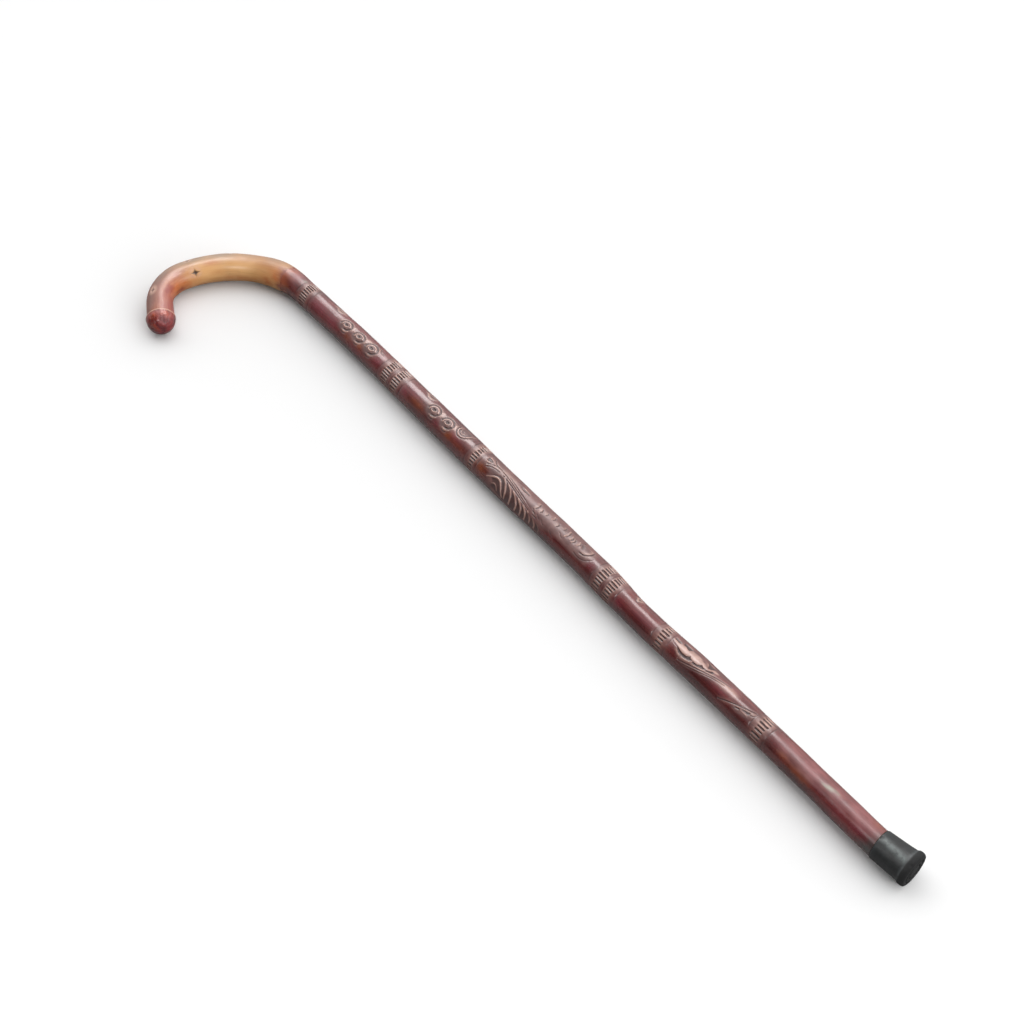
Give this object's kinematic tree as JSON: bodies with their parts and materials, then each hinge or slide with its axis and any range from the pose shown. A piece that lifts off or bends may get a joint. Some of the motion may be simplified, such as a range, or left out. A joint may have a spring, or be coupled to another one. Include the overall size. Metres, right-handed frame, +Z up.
{
  "type": "carved walking stick",
  "caption": "Straight round wooden walking stick with carved notched bands, a bent crook handle ending in a knob, and a pull-off rubber tip on the foot.",
  "frame": {"origin": "middle of the stick's outline seen from above, on the surface that it lies on", "axes": "+X along the shaft to the rubber tip, -Y to the side that the crook bends to, +Z up from the surface"},
  "size_m": [0.894, 0.1546, 0.0312],
  "materials": {
    "honey_wood": "varnished, polished by the hand, reddish towards the tip",
    "red_wood": "dark red stain under varnish, worn brown on raised edges",
    "dowel_wood": "bare",
    "rubber": "matt, scuffed",
    "steel": "plain"
  },
  "bodies": {
    "stick": {"crook_handle": "honey_wood", "carved_shaft": "red_wood", "joint_dowel": "dowel_wood"},
    "ferrule": {"rubber_ferrule": "rubber", "ferrule_washer": "steel"}
  },
  "joints": [
    {"name": "ferrule_pull", "type": "slide", "parent": "stick", "child": "ferrule", "axis": [0.9925, 0.1219, 0], "range_m": [0, 0.045]}
  ]
}
